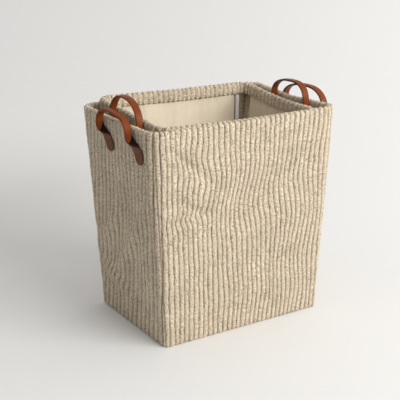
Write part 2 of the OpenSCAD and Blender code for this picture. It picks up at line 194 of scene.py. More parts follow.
# floor, light and camera
STAGE_GREY = (0.81, 0.81, 0.808)
SWEEP_NEAR, SWEEP_BEND, SWEEP_HIGH = 0.15, 1.2, 3.4    # where the floor bends up, radius, height
SWEEP_FRONT, SWEEP_HALF = -3.0, 4.0                    # where the floor begins, half its width
KEY_PLACE, KEY_AIM, KEY_SIZE = (1.36, -2.91, 1.83), (0, 0, 0.2), (3.0, 1.0)
KEY_WATTS, KEY_COLOUR = 108, (1.0, 0.99, 0.97)
ROOM_COLOUR = (1.0, 0.985, 0.96)
ROOM_BRIGHT_WAY = (0.55, 0.0, 0.83)    # the room is brightest above and to the right
ROOM_SWING, ROOM_LEVEL = 0.56, 0.355   # how much brighter it is there, and its middle level
AZIMUTH, ELEVATION, DISTANCE = math.radians(-32.7), math.radians(18.78), 1.825
AIM = (0, 0, 0.19)
LENS, SENSOR, SHIFT = 90.9, 36.0, (-0.0221, 0.0193)


# ---------------------------------------------------------------- small tools
def smooth(t):
    """0 to 1 as t goes from 0 to 1, level at both ends."""
    t = np.clip(t, 0.0, 1.0)
    return t * t * (3 - 2 * t)


def noise(x, y, seed, lattice=64):
    """Smooth noise from -1 to 1 over a seeded lattice."""
    table = np.random.default_rng(seed).uniform(-1, 1, (lattice, lattice))
    x, y = np.broadcast_arrays(np.asarray(x, float), np.asarray(y, float))
    ix, iy = np.floor(x).astype(int), np.floor(y).astype(int)
    fx, fy = x - ix, y - iy
    fx, fy = fx * fx * (3 - 2 * fx), fy * fy * (3 - 2 * fy)
    left, right = ix % lattice, (ix + 1) % lattice
    low, high = iy % lattice, (iy + 1) % lattice
    a, b, c, d = table[left, low], table[right, low], table[left, high], table[right, high]
    return (a + (b - a) * fx) * (1 - fy) + (c + (d - c) * fx) * fy


def grid_faces(rows, cols, flip=False, wrap=False):
    """Quads over a grid of points; with wrap the last column joins the first."""
    last = cols if wrap else cols - 1
    r, c = np.meshgrid(np.arange(rows - 1), np.arange(last), indexing="ij")
    n = (c + 1) % cols
    quads = np.stack([r * cols + c, r * cols + n, (r + 1) * cols + n, (r + 1) * cols + c], -1)
    quads = quads.reshape(-1, 4)
    return quads[:, ::-1] if flip else quads


def make_mesh(name, points, faces, material, attributes=None):
    """A smooth mesh object; attributes are numbers on its points for the materials."""
    mesh = bpy.data.meshes.new(name)
    points = np.asarray(points, float).reshape(-1, 3)
    mesh.from_pydata(points.tolist(), [], np.asarray(faces).tolist())
    for key, values in (attributes or {}).items():
        layer = mesh.attributes.new(key, "FLOAT", "POINT")
        layer.data.foreach_set("value", np.asarray(values, np.float32).ravel())
    mesh.polygons.foreach_set("use_smooth", [True] * len(mesh.polygons))
    mesh.materials.append(material)
    mesh.update()
    obj = bpy.data.objects.new(name, mesh)
    bpy.context.scene.collection.objects.link(obj)
    return obj


def thicken(obj, thickness):
    """Give a sheet its thickness."""
    obj.modifiers.new("cloth", "SOLIDIFY").thickness = thickness


# ------------------------------------------------------------------ materials
def new_material(name, colour, roughness, sheen=0.0, coat=0.0, specular=0.5):
    """A material, its node tree and its shader."""
    material = bpy.data.materials.new(name)
    material.use_nodes = True
    bsdf = material.node_tree.nodes["Principled BSDF"]
    bsdf.inputs["Base Color"].default_value = (*colour, 1)
    bsdf.inputs["Roughness"].default_value = roughness
    bsdf.inputs["Sheen Weight"].default_value = sheen
    bsdf.inputs["Sheen Roughness"].default_value = 0.5
    bsdf.inputs["Coat Weight"].default_value = coat
    bsdf.inputs["Specular IOR Level"].default_value = specular
    return material, material.node_tree, bsdf


def object_coords(tree, scale=(1, 1, 1)):
    """Where a point is on its object, in metres, with each axis scaled."""
    coords = tree.nodes.new("ShaderNodeTexCoord")
    mapping = tree.nodes.new("ShaderNodeMapping")
    mapping.inputs["Scale"].default_value = scale
    tree.links.new(coords.outputs["Object"], mapping.inputs["Vector"])
    return mapping.outputs["Vector"]


def attribute_node(tree, name):
    """The mesh's own numbers of that name."""
    node = tree.nodes.new("ShaderNodeAttribute")
    node.attribute_name = name
    return node.outputs["Fac"]


def noise_node(tree, vector, scale, detail=2.0, roughness=0.5):
    """Noise with about scale cells to the metre."""
    node = tree.nodes.new("ShaderNodeTexNoise")
    node.inputs["Scale"].default_value = scale
    node.inputs["Detail"].default_value = detail
    node.inputs["Roughness"].default_value = roughness
    tree.links.new(vector, node.inputs["Vector"])
    return node.outputs["Fac"]


def ramp_node(tree, fac, stops):
    """A colour ramp; stops are pairs of place and colour."""
    node = tree.nodes.new("ShaderNodeValToRGB")
    while len(node.color_ramp.elements) < len(stops):
        node.color_ramp.elements.new(0.5)
    for element, (at, colour) in zip(node.color_ramp.elements, stops):
        element.position = at
        element.color = (*colour, 1)
    tree.links.new(fac, node.inputs["Fac"])
    return node.outputs["Color"]


def mix_node(tree, kind, factor, a, b):
    """Two colours mixed the way kind says."""
    node = tree.nodes.new("ShaderNodeMixRGB")
    node.blend_type = kind
    node.inputs["Fac"].default_value = factor
    tree.links.new(a, node.inputs["Color1"])
    tree.links.new(b, node.inputs["Color2"])
    return node.outputs["Color"]


def bump_node(tree, bsdf, height, strength, distance):
    """Relief on a shader; distance is in metres."""
    node = tree.nodes.new("ShaderNodeBump")
    node.inputs["Strength"].default_value = strength
    node.inputs["Distance"].default_value = distance
    tree.links.new(height, node.inputs["Height"])
    tree.links.new(node.outputs["Normal"], bsdf.inputs["Normal"])


def corduroy_material():
    """Painted shade: dark in the grooves and pale on the crests, by the mesh's rib attribute."""
    material, tree, bsdf = new_material(
        "corduroy", (0.55, 0.45, 0.34), roughness=0.95, sheen=0.2, specular=0.1)
    vector = object_coords(tree)
    # painted shade: the ramp paints the grooves far darker than the cloth's own colour, where shade
    # falls between the ribs
    groove_shade = ramp_node(tree, attribute_node(tree, "rib"), [
        (0.0, (0.045, 0.028, 0.016)),
        (0.30, (0.20, 0.148, 0.095)),
        (0.62, (0.57, 0.475, 0.358)),
        (1.0, (0.76, 0.655, 0.515))])
    speckle = ramp_node(tree, noise_node(tree, vector, scale=430, detail=4, roughness=0.75), [
        (0.36, (0.26, 0.22, 0.17)),
        (0.48, (0.88, 0.87, 0.84)),
        (0.56, (1.0, 1.0, 1.0)),
        (0.68, (1.35, 1.34, 1.30))])
    patches = ramp_node(tree, noise_node(tree, vector, scale=26), [
        (0.3, (0.90, 0.89, 0.87)),
        (0.7, (1.05, 1.05, 1.05))])
    colour = mix_node(tree, "MULTIPLY", 1.0, groove_shade, speckle)
    colour = mix_node(tree, "MULTIPLY", 1.0, colour, patches)
    tree.links.new(colour, bsdf.inputs["Base Color"])
    pile = noise_node(tree, vector, scale=900, detail=4, roughness=0.75)
    bump_node(tree, bsdf, pile, strength=0.8, distance=0.0014)
    return material


def lining_material():
    """A plain woven cotton: threads up the wall and across it."""
    material, tree, bsdf = new_material(
        "lining", (0.78, 0.70, 0.58), roughness=0.9, sheen=0.1, specular=0.2)
    vector = object_coords(tree)
    warp = noise_node(tree, object_coords(tree, (1500, 1500, 60)), scale=1.0)
    weft = noise_node(tree, object_coords(tree, (90, 90, 1500)), scale=1.0)
    weave = mix_node(tree, "ADD", 0.5, warp, weft)
    colour = ramp_node(tree, noise_node(tree, vector, scale=14, detail=3), [
        (0.3, (0.74, 0.645, 0.505)),
        (0.7, (0.82, 0.725, 0.580))])
    colour = mix_node(tree, "MULTIPLY", 0.22, colour, weave)
    tree.links.new(colour, bsdf.inputs["Base Color"])
    bump_node(tree, bsdf, weave, strength=0.25, distance=0.0004)
    return material


def leather_material(name, light, dark, roughness, coat, grain, specular):
    """Leather with cells for grain, with painted shade where the mesh's deep attribute is high."""
    material, tree, bsdf = new_material(name, light, roughness, coat=coat, specular=specular)
    bsdf.inputs["Coat Roughness"].default_value = 0.35
    vector = object_coords(tree)
    clouds = noise_node(tree, vector, scale=55, detail=4, roughness=0.6)
    colour = ramp_node(tree, clouds, [(0.3, dark), (0.68, light)])
    fine = ramp_node(tree, noise_node(tree, vector, scale=800, detail=3, roughness=0.6), [
        (0.35, (0.82, 0.80, 0.78)),
        (0.6, (1.0, 1.0, 1.0))])
    colour = mix_node(tree, "MULTIPLY", 0.7, colour, fine)
    # painted shade of the fold's pocket, by the deep attribute
    painted_pocket_shade = ramp_node(tree, attribute_node(tree, "deep"), [
        (0.0, (1.0, 1.0, 1.0)),
        (1.0, (0.10, 0.07, 0.05))])
    tree.links.new(mix_node(tree, "MULTIPLY", 1.0, colour, painted_pocket_shade), bsdf.inputs["Base Color"])
    cells = tree.nodes.new("ShaderNodeTexVoronoi")
    cells.inputs["Scale"].default_value = 1100
    tree.links.new(vector, cells.inputs["Vector"])
    bump_node(tree, bsdf, cells.outputs["Distance"], strength=grain, distance=0.0004)
    return material


def plain_material(name, colour, roughness, scale, spread, relief):
    """One colour that varies by spread either way, with relief at the same scale."""
    material, tree, bsdf = new_material(name, colour, roughness)
    fac = noise_node(tree, object_coords(tree), scale, detail=3)
    low = tuple(c * (1 - spread) for c in colour)
    high = tuple(min(1.0, c * (1 + spread)) for c in colour)
    tree.links.new(ramp_node(tree, fac, [(0.3, low), (0.7, high)]), bsdf.inputs["Base Color"])
    bump_node(tree, bsdf, fac, strength=relief, distance=0.0003)
    return material


CORDUROY = corduroy_material()
LINING = lining_material()
GRAIN = leather_material(
    "leather_grain", light=(0.265, 0.062, 0.013), dark=(0.170, 0.036, 0.008),
    roughness=0.45, coat=0.10, grain=0.25, specular=0.10)
FLESH = leather_material(
    "leather_flesh", light=(0.205, 0.090, 0.052), dark=(0.165, 0.068, 0.038),
    roughness=0.75, coat=0.0, grain=0.35, specular=0.2)
SLEEVE = plain_material(
    "post_sleeve", (0.80, 0.79, 0.75), roughness=0.35, scale=60, spread=0.03, relief=0.05)
BOARD = plain_material(
    "board", (0.36, 0.34, 0.30), roughness=0.9, scale=120, spread=0.12, relief=0.3)
CUFF_THREAD = plain_material(
    "cuff_thread", (0.54, 0.44, 0.31), roughness=0.8, scale=900, spread=0.15, relief=0.4)
EDGE = plain_material(
    "leather_edge", (0.060, 0.020, 0.011), roughness=0.6, scale=700, spread=0.2, relief=0.3)
TAB_THREAD = plain_material(
    "tab_thread", (0.17, 0.065, 0.033), roughness=0.7, scale=900, spread=0.15, relief=0.4)


# ----------------------------------------------------------------- bin shape
class Bin:
    """The shape of one bin, measured from its CAD nodes. Heights here start at its base."""

    def __init__(self, name):
        self.name, facts = name, BINS[name]
        self.top_r, self.base_r, self.rows = facts["top_r"], facts["base_r"], facts["rows"]
        self.pitch, self.roll = facts["pitch"], facts["roll"]
        left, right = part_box(f"{name}_left_panel"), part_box(f"{name}_right_panel")
        front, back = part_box(f"{name}_front_panel"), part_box(f"{name}_back_panel")
        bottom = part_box(f"{name}_bottom_panel")
        seam_in = CORD + SEAM_GAP
        self.x = (bottom[0].x + bottom[1].x) / 2
        self.z = bottom[0].z
        self.top_w = (right[1].x - left[0].x) / 2
        self.top_d = (back[1].y - front[0].y) / 2
        self.base_w = (bottom[1].x - bottom[0].x) / 2 + seam_in
        self.base_d = (bottom[1].y - bottom[0].y) / 2 + seam_in
        # how much higher the rim's highest corner is than its middle, because the bin leans
        a, b, r = math.sin(self.roll), math.sin(self.pitch), self.top_r
        tip = a * (self.top_w - r) + b * (self.top_d - r) + (r - CORD) * math.hypot(a, b)
        self.height = max(left[1].z, back[1].z) - self.z - tip
        self.folds = {wall: FOLDS.get((name, wall)) or loose_folds(self, wall) for wall in WALLS}

    def half_w(self, z):
        """Half the outer width at a height."""
        return self.base_w + (self.top_w - self.base_w) * z / self.height

    def half_d(self, z):
        """Half the outer depth at a height."""
        return self.base_d + (self.top_d - self.base_d) * z / self.height

    def corner(self, z):
        """The corners' radius at a height."""
        return self.base_r + (self.top_r - self.base_r) * z / self.height

    def tipped(self, x, y, z):
        """Where an upright point goes once the bin leans. The base stays flat."""
        a, b = self.pitch * z / self.height, self.roll * z / self.height
        return np.stack([self.x + x * np.cos(b) + y * np.sin(a) * np.sin(b),
                         y * np.cos(a) + 0 * x,
                         self.z + z - x * np.sin(b) + y * np.sin(a) * np.cos(b)], -1)

    def halves(self, wall, z):
        """Half the wall's straight run, and its distance from the middle."""
        r = self.corner(z)
        if wall in ("front", "back"):
            return self.half_w(z) - r, self.half_d(z)
        return self.half_d(z) - r, self.half_w(z)

    def side_face(self, sign, z):
        """How far out the left (-1) or right (1) wall's outer face is, at a world height."""
        up = z - self.z + sign * self.half_w(z - self.z) * math.sin(self.roll)
        return self.half_w(up) + sign * self.x

    def reach(self, wall, z):
        """Half the wall's length from seam to seam, along its face."""
        return self.halves(wall, z)[0] + self.corner(z) * math.pi / 4

    def point(self, wall, s, z, inset):
        """A point s along the wall from its middle, and its outward direction."""
        straight, out = self.halves(wall, z)
        r = self.corner(z)
        turn = np.clip((np.abs(s) - straight) / r, 0, math.pi / 4)
        side = np.sign(s)
        u = np.where(np.abs(s) <= straight, s, side * (straight + (r - inset) * np.sin(turn)))
        v = -(out - r) - (r - inset) * np.cos(turn)
        nu, nv = side * np.sin(turn), -np.cos(turn)
        for _ in range(WALLS.index(wall)):
            u, v, nu, nv = -v, u, -nv, nu
        return u, v, nu, nv


def seed_of(bin_, wall, kind):
    """A seed of its own for each bin, wall and kind of noise."""
    return kind + WALLS.index(wall) + (0 if bin_.name == "outer" else 10)


def rim_drop(bin_, wall, s, z):
    """How far the cloth of the wall's upper part has slumped: down, and inwards."""
    down, inwards = SLUMP[bin_.name][wall]
    up = smooth((z / bin_.height - 0.6) / 0.4)      # 0 below six tenths of the height
    along = s / bin_.reach(wall, bin_.height)
    span = np.clip(1 - along ** 2, 0, 1)
    wave = noise(s / RIM_WAVE_LONG, 0.3, seed_of(bin_, wall, 40)) * RIM_WAVE * span
    return (down * MM * span ** 1.5 + wave) * up, inwards * MM * span ** 1.5 * up


def loose_folds(bin_, wall, count=7):
    """Folds for a wall that has none of its own above, drawn from its seed."""
    draw = np.random.default_rng(seed_of(bin_, wall, 500)).uniform
    half = bin_.reach(wall, bin_.height) / MM
    return [(draw(-0.8, 0.8) * half, draw(40, 330), draw(50, 120), draw(14, 38),
             draw(-50, 50), draw(-5, 5), draw(-2.6, 2.6)) for _ in range(count)]


def fold_field(bin_, wall, s, z):
    """Sideways shift of the ribs and outward push of the cloth, from all the wall's folds."""
    sideways, outward = 0 * s, 0 * s
    for along, height, length, width, tilt, shift, push in bin_.folds[wall]:
        c, d = math.cos(math.radians(tilt)), math.sin(math.radians(tilt))
        u = ((s - along * MM) * c + (z - height * MM) * d) / (length * MM)
        v = ((z - height * MM) * c - (s - along * MM) * d) / (width * MM)
        here = np.exp(-u * u - v * v)
        sideways = sideways + shift * MM * here
        outward = outward + push * MM * here
    return sideways, outward


def sag(bin_, wall, s, z):
    """Soft hollows and folds of a wall, outwards positive, 0 at the seams and the hem."""
    share = z / bin_.height
    along = np.clip(s / bin_.reach(wall, z), -1, 1)
    edge = 0.10      # the hem and the rim hold this share of the height
    hold = (1 - along ** 6) * smooth(share / edge) * smooth((1.0 - share) / edge)
    deep = HOLLOW[wall] * MM
    hollow = -deep * math.sin(math.pi * min(max(share, 0), 1)) * (1 - along ** 2)
    slack = SLACK * noise(s / SLACK_LONG + z / SLACK_DRIFT, z / SLACK_HIGH,
                          seed_of(bin_, wall, 60))
    return (hollow + slack + fold_field(bin_, wall, s, z)[1]) * hold


def rib_phase(bin_, wall, s, z):
    """Which rib a point is on, as a number whose whole part changes in the grooves."""
    seed = seed_of(bin_, wall, 20)
    reach, top = bin_.reach(wall, z), bin_.reach(wall, bin_.height)
    along = np.clip(s / reach, -1, 1)
    pitch = (RIB_PITCH if wall in ("front", "back") else SIDE_PITCH) * math.sqrt(reach / top)
    shift = fold_field(bin_, wall, s, z)[0] * (1 - along ** 8)
    if wall in ("left", "right"):
        slant = 1.0 if wall == "left" else RIGHT_SLANT
        shift = shift - (SIDE_SLANT - SIDE_SLANT_FADE * along) * (bin_.height - z) * slant
    wander = RIB_WANDER * noise(s / WANDER_LONG, z / WANDER_HIGH, seed)
    wobble = RIB_WOBBLE * noise(s / WOBBLE_LONG, z / WOBBLE_HIGH, seed + 5)
    return (s - shift) / pitch + wander + wobble


def rib_height(phase):
    """Height across a rib: steep flanks, a round top and a narrow groove."""
    f = phase - np.floor(phase)
    return (1 - np.abs(2 * f - 1) ** RIB_FLANK) ** RIB_CREST


def wall_rows(bin_):
    """The line a wall's cloth follows: (inset, height, outward share, upward share)."""
    top, inner_face = bin_.height, 2 * RIM_R
    rows = [(HEM, 1.6 * MM, 0, -1),
            (4.5 * MM, 0.9 * MM, 0, -1),
            (2.2 * MM, 1.1 * MM, 0.5, -0.86),
            (0.7 * MM, 2.4 * MM, 0.86, -0.5)]
    rows += [(0, z, 1, 0) for z in np.linspace(5 * MM, top - RIM_R, bin_.rows)]
    for k in range(1, RIM_STEPS):
        a = math.pi * k / RIM_STEPS
        rows.append((RIM_R - RIM_R * math.cos(a), top - RIM_R + RIM_R * math.sin(a),
                     math.cos(a), math.sin(a)))
    rows += [(inner_face, z, -1, 0) for z in np.linspace(top - RIM_R, top - CUFF, CUFF_STEPS)]
    rows += [(inner_face - 0.8 * MM, top - CUFF - 0.7 * MM, -0.5, -0.86),
             (inner_face - 2.4 * MM, top - CUFF - 0.5 * MM, 0.5, -0.86)]
    return rows


def wall_surface(bin_, wall, s, z, inset, out, up, raise_by):
    """World points of a wall's cloth, sagged, slumped and raised along its own normal."""
    u, v, nu, nv = bin_.point(wall, s, z, inset)
    down, inward = rim_drop(bin_, wall, s, z)
    move = sag(bin_, wall, s, z) - inward + raise_by * out
    return bin_.tipped(u + nu * move, v + nv * move, z) + np.stack(
        [0 * s, 0 * s, -down + raise_by * up], -1)


def corduroy_wall(bin_, wall):
    """One wall's corduroy, from the hem over the rim to the cuff's lower edge."""
    rows = wall_rows(bin_)
    cols = int(round(2 * bin_.reach(wall, bin_.height) / RIB_PITCH)) * RIB_STEPS + 1
    c = np.linspace(-1, 1, cols)
    seed = seed_of(bin_, wall, 80)
    stitch_z = bin_.height - CUFF + STITCH_UP
    points, rib = [], []
    for inset, z, out, up in rows:
        in_cuff = out < -0.9      # the rows that face the inside of the bin
        reach = bin_.reach(wall, z)
        s = c * reach
        face = rib_height(rib_phase(bin_, wall, s, z))
        seam = np.exp(-((1 - np.abs(c)) * reach / SEAM_HALF) ** 2)
        stitch = math.exp(-((z - stitch_z) / STITCH_HALF) ** 2) if in_cuff else 0
        tuft = TUFT * noise(s / NUB, (z + inset) / NUB, seed) * smooth((face - 0.2) / 0.5)
        deeper = wall in ("left", "right") and z < bin_.height - RIM_ZONE
        deep = RIB_DEEP * (SIDE_DEEPER if deeper else 1.0)
        lift = -deep + (RIB_HIGH + deep) * face + tuft - STITCH_PULL * stitch * face
        # the rib attribute carries painted shade: 0 is a groove's painted shade, 1 a crest
        groove_shade = face
        if in_cuff:
            lift = CUFF_FLAT * lift
            # painted shade: the cuff's grooves are painted less dark, and the stitch line is painted
            # darker between the ribs
            groove_shade = CUFF_GROOVE_SHADE + (1 - CUFF_GROOVE_SHADE) * face - 0.5 * stitch * (1 - face)
        lift = lift * (1 - seam) - SEAM_DEEP * seam
        points.append(wall_surface(bin_, wall, s, z, inset, out, up, lift))
        # painted shade of the grooves, the seams and the cuff's stitch line goes into the rib
        # attribute
        rib.append(np.clip(groove_shade * (1 - seam) + SEAM_SHADE * seam, 0, 1))
    name = f"{bin_.name}_{wall}_corduroy"
    obj = make_mesh(name, points, grid_faces(len(rows), cols), CORDUROY, attributes={"rib": rib})
    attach(obj, f"{bin_.name}_bin")
    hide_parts(f"{bin_.name}_{wall}_panel")
    return obj


def rim_wire(bin_, stations=60, sides=10):
    """The wire inside the rolled rim. It slumps with the cloth round it."""
    path = []
    for wall in WALLS:
        s = np.linspace(-1, 1, stations, endpoint=False) * bin_.reach(wall, bin_.height)
        path.append(wall_surface(bin_, wall, s, bin_.height - RIM_R, RIM_R, 1.0, 0.0, 0 * s))
    path = np.concatenate(path)
    along = np.roll(path, -1, axis=0) - np.roll(path, 1, axis=0)
    up = np.array([0, 0, 1])
    side = np.cross(along, up)
    side /= np.linalg.norm(side, axis=1)[:, None]
    ring = np.stack([path + RIM_WIRE_R * (math.cos(a) * side + math.sin(a) * up)
                     for a in np.arange(sides) * math.tau / sides], 1)
    ring = np.concatenate([ring, ring[:1]])
    faces = grid_faces(len(ring), sides, wrap=True)
    obj = make_mesh(f"{bin_.name}_rim_wire_run", ring, faces, SLEEVE)
    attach(obj, f"{bin_.name}_bin")
    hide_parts(f"{bin_.name}_rim_wire")


def lining_wall(bin_, wall):
    """The lining of one wall. It ends at the posts, and its top is caught behind the cuff."""
    long_wall = wall in ("front", "back")
    low, high = LINING_LOW, bin_.height - CUFF * 0.55
    rows, cols = 46, 121 if long_wall else 85
    stop = 5.2 * MM if long_wall else 0.6 * MM      # from the straight run's end to the edge
    c = np.linspace(-1, 1, cols)
    seed = seed_of(bin_, wall, 120)
    points = []
    for z in np.linspace(low, high, rows):
        s = c * (bin_.halves(wall, z)[0] - stop)
        share = (z - low) / (high - low)
        gather = (0.5 + 0.9 * share ** 2) * MM * noise(s / GATHER_LONG, z / GATHER_HIGH, seed)
        drape = noise(s / DRAPE_LONG + z / DRAPE_DRIFT, z / DRAPE_HIGH, seed + 3)
        drape = DRAPE * drape * smooth(share / 0.2)
        flat = 1 - 0.6 * smooth((share - 0.9) / 0.1)      # the cuff presses the top flatter
        inward = np.maximum(0, LINING_IN + LINING_WAVE + (gather + drape + LINING_WAVE) * flat)
        points.append(wall_surface(bin_, wall, s, z, 0.0, -1.0, 0.0, inward))
    name = f"{bin_.name}_{wall}_cloth"
    obj = make_mesh(name, points, grid_faces(rows, cols, flip=True), LINING)
    thicken(obj, LINING_T)
    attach(obj, f"{bin_.name}_bin")
    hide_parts(f"{bin_.name}_{wall}_lining")
    return obj


def floor_cloth(bin_, n=61):
    """The floor lining, a little slack in its middle."""
    lo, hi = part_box(f"{bin_.name}_floor_lining")
    x, y = np.meshgrid(np.linspace(-1, 1, n), np.linspace(-1, 1, n), indexing="ij")
    edge = np.maximum(np.abs(x), np.abs(y))
    puff = 0.9 * MM * noise(x * 3, y * 2.4, 301) * (1 - edge ** 6)
    cx, cy = (lo.x + hi.x) / 2, (lo.y + hi.y) / 2
    squeeze = 1 - 0.012 * (np.abs(x) * np.abs(y)) ** 6      # rounds the corners
    points = np.stack([cx + x * squeeze * (hi.x - lo.x) / 2, cy + y * squeeze * (hi.y - lo.y) / 2,
                       hi.z + 0.3 * MM + np.abs(puff)], -1)
    obj = make_mesh(f"{bin_.name}_floor_cloth", points, grid_faces(n, n), LINING)
    thicken(obj, FLOOR_T)
    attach(obj, f"{bin_.name}_bin")
    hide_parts(f"{bin_.name}_floor_lining")
    return obj


def bottom_cloth(bin_, ny=40):
    """The corduroy under the bin, with its ribs from front to back."""
    lo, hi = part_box(f"{bin_.name}_bottom_panel")
    nx = int((hi.x - lo.x) / RIB_PITCH * RIB_STEPS)
    x, y = np.meshgrid(np.linspace(-1, 1, nx), np.linspace(-1, 1, ny), indexing="ij")
    px, py = (lo.x + hi.x) / 2 + x * (hi.x - lo.x) / 2, y * (hi.y - lo.y) / 2
    face = rib_height(px / RIB_PITCH + 0.15 * noise(px / 0.03, py / 0.06, 311))
    round_off = np.clip(np.maximum(np.abs(x), np.abs(y)) - 0.95, 0, 1) / 0.05
    pz = lo.z + 2.0 * MM - 1.6 * MM * face * (1 - round_off)
    # its rib attribute paints shade into the grooves, as on the walls
    obj = make_mesh(f"{bin_.name}_bottom_cloth", np.stack([px, py, pz], -1),
                    grid_faces(nx, ny, flip=True), CORDUROY, attributes={"rib": face})
    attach(obj, f"{bin_.name}_bin")
    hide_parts(f"{bin_.name}_bottom_panel")
    return obj


def capsule_rows(starts, ends, radius, sides=6):
    """Short round stitches as one set of points and faces."""
    points, faces = [], []
    rings = [(0.0, 0.35), (0.12, 0.9), (0.5, 1.15), (0.88, 0.9), (1.0, 0.35)]
    for a, b in zip(starts, ends):
        a, b = Vector(a), Vector(b)
        axis = (b - a).normalized()
        one = axis.orthogonal().normalized()
        two = axis.cross(one)
        base = len(points)
        for t, r in rings:
            for k in range(sides):
                w = 2 * math.pi * k / sides
                points.append(a.lerp(b, t) + (one * math.cos(w) + two * math.sin(w)) * radius * r)
        faces += (grid_faces(len(rings), sides, wrap=True) + base).tolist()
    return [tuple(p) for p in points], faces


def cuff_stitches(bin_):
    """A row of stitches round the cuff, sunk between the ribs."""
    z = bin_.height - CUFF + STITCH_UP
    starts, ends = [], []
    for wall in WALLS:
        reach = bin_.reach(wall, z) - 6 * MM
        for s in np.arange(-reach, reach, STITCH_STEP):
            pair = np.array([s, s + STITCH_LEN])
            start, end = wall_surface(bin_, wall, pair, z, 2 * RIM_R, -1.0, 0.0, 0.4 * MM)
            starts.append(start)
            ends.append(end)
    points, faces = capsule_rows(starts, ends, STITCH_R)
    obj = make_mesh(f"{bin_.name}_cuff_stitches", points, faces, CUFF_THREAD)
    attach(obj, f"{bin_.name}_bin")
    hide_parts(f"{bin_.name}_cuff_thread")


# --------------------------------------------------------------------- straps
def end_value(z, column):
    """A smooth curve through one column of STRAP_END."""
    xs, ys = STRAP_END[:, 0], STRAP_END[:, STRAP_COLUMNS.index(column)]
    slope = np.gradient(ys, xs)
    x = np.clip(np.asarray(z) / MM, xs[0], xs[-1])
    k = np.clip(np.searchsorted(xs, x) - 1, 0, len(xs) - 2)
    step = xs[k + 1] - xs[k]
    t = (x - xs[k]) / step
    return (ys[k] * (1 + 2 * t) * (1 - t) ** 2 + ys[k + 1] * t * t * (3 - 2 * t)
            + slope[k] * step * t * (1 - t) ** 2 - slope[k + 1] * step * t * t * (1 - t))


def strap_half(leg_y, crown_y, top, leg_z, square):
    """Stations from a tab's tip to the crown, and how many of them are the tab's. Each has the
    edge of the back layer (y, z), the direction that the front layer lies in (y, z), and off,
    turn, fold, opening and half width."""
    down = np.linspace(STRAP_END[0, 0] * MM, leg_z, LEG_STEPS)[:-1]
    a = np.linspace(0, math.pi / 2, ARCH_STEPS)
    over, up = np.cos(a) ** (2 / square), np.sin(a) ** (2 / square)
    y = np.concatenate([0 * down + leg_y, crown_y - (crown_y - leg_y) * over])
    z = np.concatenate([down, leg_z + (top - leg_z) * up])
    step = np.gradient(np.stack([y, z], -1), axis=0)
    step /= np.linalg.norm(step, axis=1)[:, None]
    tilt = np.radians(end_value(z, "tilt"))
    front = np.stack([-step[:, 1], step[:, 0]], -1)
    front = np.stack([front[:, 0] * np.cos(tilt) + front[:, 1] * np.sin(tilt),
                      front[:, 1] * np.cos(tilt) - front[:, 0] * np.sin(tilt)], -1)
    turn, half = end_value(z, "turn"), 0 * z + STRAP_HALF
    gap = STRAP_GAP / 2 * np.cos(np.radians(turn))
    edge = np.stack([y - end_value(z, "shift") * MM, z], -1) - front * gap[:, None]
    rows = np.column_stack([edge, front, end_value(z, "off"), turn, end_value(z, "fold"),
                            end_value(z, "opening"), half])
    first = rows[0]
    middle = first[:2] - first[2:4] * STRAP_HALF
    hang = np.array([-math.sin(TAB_LEAN), -math.cos(TAB_LEAN)])
    tab = []
    for d in TAB_LEN * np.sin(np.linspace(math.pi / 2, 0, TAB_STEPS)[:-1]):
        left = (TAB_LEN - d) / STRAP_HALF      # from the round tip, as a share of its radius
        wide = STRAP_HALF * max(0.1, math.sqrt(max(0.0, 1 - (1 - min(left, 1.0)) ** 2)))
        tab.append([*(middle + d * hang + first[2:4] * wide), *first[2:8], wide])
    return np.concatenate([tab, rows]), len(tab)


def strap_section(turn, fold, opening, half, fine_steps=240):
    """The strap cut across: for each lane its place towards the wall and towards the front, and
    the direction that the grain side faces."""
    bend = STRAP_FOLD / STRAP_HALF
    fine = np.linspace(-1, 1, fine_steps + 1)
    angle = np.radians(turn + 180 - (180 - opening) * smooth((fine - fold) / bend + 0.5))
    go = np.stack([np.cos(angle), np.sin(angle)], -1)
    run = np.concatenate([[[0, 0]], np.cumsum((go[1:] + go[:-1]) / 2, axis=0)])
    run = run * (2 * half / fine_steps)
    place = np.stack([np.interp(LANES, fine, run[:, k]) for k in (0, 1)], -1)
    go = np.stack([np.interp(LANES, fine, go[:, k]) for k in (0, 1)], -1)
    go /= np.linalg.norm(go, axis=1)[:, None]
    return place, np.stack([-go[:, 1], go[:, 0]], -1)


def strap_points(rows, bin_, sign, band_in):
    """Both faces of a half strap in the world, for every station and lane."""
    faces = np.zeros((2, len(rows), len(LANES), 3))
    bulge = STRAP_PUFF * np.sin(math.pi * np.abs(LANES))
    for i, (ey, ez, fy, fz, off, turn, fold, opening, half) in enumerate(rows):
        place, grain = strap_section(turn, fold, opening, half)
        wall = bin_.side_face(sign, ez) + RIB_HIGH * 0.6 + STRAP_T / 2
        out = wall + (band_in - wall) * off
        puff = bulge * (1 - turn / 90)
        for layer, move in ((0, STRAP_T / 2), (1, -STRAP_T / 2)):
            a = place[:, 0] + grain[:, 0] * (move + puff)
            b = place[:, 1] + grain[:, 1] * (move + puff)
            faces[layer, i, :, 0] = -sign * (a - out)
            faces[layer, i, :, 1] = -sign * (ey + b * fy)
            faces[layer, i, :, 2] = ez + b * fz
    return faces


def strap_edge_faces(n, m):
    """Quads that join the two faces of a strap with n stations and m lanes, all round."""
    other, last = n * m, (n - 1) * m
    edge = []
    for i in range(n - 1):
        here, there = i * m, (i + 1) * m
        edge.append([here, there, other + there, other + here])
        here, there = here + m - 1, there + m - 1
        edge.append([here, other + here, other + there, there])
    for j in range(m - 1):
        edge.append([j, other + j, other + j + 1, j + 1])
        edge.append([last + j, last + j + 1, other + last + j + 1, other + last + j])
    return np.array(edge)


